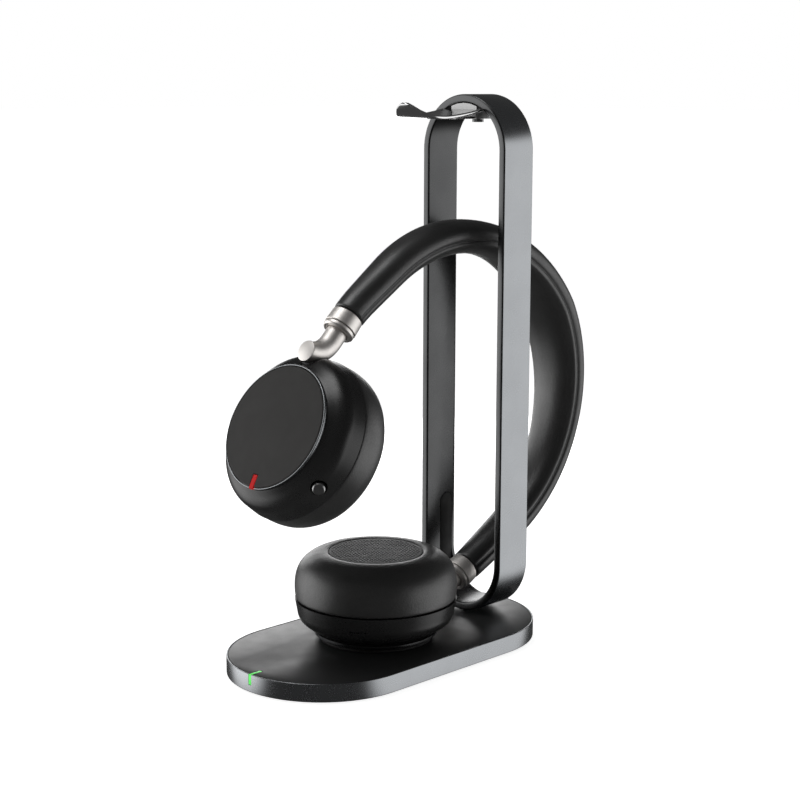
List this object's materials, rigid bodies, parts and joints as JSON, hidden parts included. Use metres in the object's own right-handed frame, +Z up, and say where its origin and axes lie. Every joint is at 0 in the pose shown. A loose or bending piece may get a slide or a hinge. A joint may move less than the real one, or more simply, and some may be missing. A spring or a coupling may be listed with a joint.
{
  "type": "wireless office headset on its charging stand",
  "caption": "Over-ear wireless headset with padded headband and round ear cups, one cup docked face down on a weighted charging base that has a tall metal loop to hang it from.",
  "frame": {"origin": "centre of the base's underside, on the surface it stands on", "axes": "+Z up, +Y towards the end of the base that carries the upright loop, +X to the right seen from the status light's end"},
  "size_m": [0.09, 0.2182, 0.2614],
  "materials": {
    "satin_gunmetal": "fine-blasted, satin anodised",
    "satin_nickel": "satin nickel",
    "polished_metal": "polished",
    "matte_charcoal": "matte, very fine texture",
    "gloss_black": "semi-gloss",
    "inner_black": "matte",
    "black_leather": "soft, fine grain",
    "speaker_cloth": "perforated",
    "soft_rubber": "matte",
    "plain_steel": "plain",
    "board_green": "solder mask",
    "coil_copper": "enamelled wire",
    "cell_grey": "wrapped cell",
    "green_lens": "lit lens",
    "red_lens": "lit lens"
  },
  "bodies": {
    "stand": {"base_rim": "satin_gunmetal", "base_top_panel": "matte_charcoal", "base_plate": "inner_black", "foot_pad": "soft_rubber", "base_screw_1": "plain_steel", "base_screw_2": "plain_steel", "base_screw_3": "plain_steel", "base_screw_4": "plain_steel", "ballast_plate": "plain_steel", "charger_board": "board_green", "usb_socket": "satin_nickel", "status_light": "green_lens", "charging_puck": "soft_rubber", "charging_coil": "coil_copper", "loop_frame": "satin_gunmetal", "leg_insert_left": "soft_rubber", "leg_insert_right": "soft_rubber", "loop_bolt_1": "plain_steel", "loop_bolt_2": "plain_steel", "perch_tray": "polished_metal", "perch_bracket": "plain_steel", "perch_screw": "plain_steel"},
    "lower_cup": {"lower_disc_plate": "matte_charcoal", "lower_disc_trim": "satin_gunmetal", "lower_cup_shell": "gloss_black", "lower_baffle": "inner_black", "lower_driver": "plain_steel", "lower_ear_cushion": "black_leather", "lower_speaker_cover": "speaker_cloth", "lower_circuit_board": "board_green", "lower_hinge_bracket": "plain_steel", "lower_hinge_pin": "plain_steel", "lower_receiver_coil": "coil_copper", "lower_microphone": "satin_nickel"},
    "lower_arm": {"lower_arm_rod": "satin_nickel"},
    "lower_swivel": {"lower_swivel_ring": "satin_nickel"},
    "headband": {"headband_cover": "black_leather", "headband_pad": "black_leather", "headband_spring": "plain_steel", "lower_ferrule": "satin_nickel", "upper_ferrule": "satin_nickel", "lower_slide_sleeve": "plain_steel", "upper_slide_sleeve": "plain_steel"},
    "upper_swivel": {"upper_swivel_ring": "satin_nickel"},
    "upper_arm": {"upper_arm_rod": "satin_nickel"},
    "upper_cup": {"upper_disc_plate": "matte_charcoal", "upper_disc_trim": "satin_gunmetal", "upper_cup_shell": "gloss_black", "upper_baffle": "inner_black", "upper_driver": "plain_steel", "upper_ear_cushion": "black_leather", "upper_speaker_cover": "speaker_cloth", "upper_circuit_board": "board_green", "upper_hinge_bracket": "plain_steel", "upper_hinge_pin": "plain_steel", "upper_battery": "cell_grey", "busy_light": "red_lens", "joystick_switch": "inner_black"},
    "joystick_stem": {"joystick_stem": "plain_steel"},
    "joystick_knob": {"joystick_knob": "matte_charcoal"}
  },
  "joints": [
    {"name": "dock_slide", "type": "slide", "parent": "stand", "child": "lower_cup", "axis": [0, -1, 0], "range_m": [0, 0.1]},
    {"name": "lower_cup_tilt", "type": "hinge", "parent": "lower_cup", "child": "lower_arm", "pos_m": [0, 0.0205, 0.0207], "axis": [-1, 0, 0], "range_deg": [0, 5]},
    {"name": "lower_arm_extension", "type": "slide", "parent": "lower_arm", "child": "lower_swivel", "axis": [0, 0.9135, 0.4067], "range_m": [0, 0.01]},
    {"name": "lower_band_swivel", "type": "hinge", "parent": "lower_swivel", "child": "headband", "pos_m": [0, 0.05221, 0.02898], "axis": [0, -0.9135, -0.4067], "range_deg": [-2.5, 2.5]},
    {"name": "upper_band_swivel", "type": "hinge", "parent": "headband", "child": "upper_swivel", "pos_m": [0, -0.02649, 0.1602], "axis": [0, -0.7071, -0.7071], "range_deg": [-90, 90]},
    {"name": "upper_arm_extension", "type": "slide", "parent": "upper_swivel", "child": "upper_arm", "axis": [0, -0.7071, -0.7071], "range_m": [0, 0.01]},
    {"name": "upper_cup_tilt", "type": "hinge", "parent": "upper_arm", "child": "upper_cup", "pos_m": [0, -0.04804, 0.13819], "axis": [1, 0, 0], "range_deg": [-5, 5]},
    {"name": "joystick_press", "type": "slide", "parent": "upper_cup", "child": "joystick_stem", "axis": [-0.6791, 0.7215, 0.1352], "range_m": [0, 0.0008], "stiffness_N_per_m": 900, "springref_m": -0.0002},
    {"name": "joystick_rock", "type": "hinge", "parent": "joystick_stem", "child": "joystick_knob", "pos_m": [0.0291, -0.06832, 0.09673], "axis": [0.5592, 0.3892, 0.732], "range_deg": [-5, 5], "stiffness_Nm_per_rad": 0.05}
  ]
}
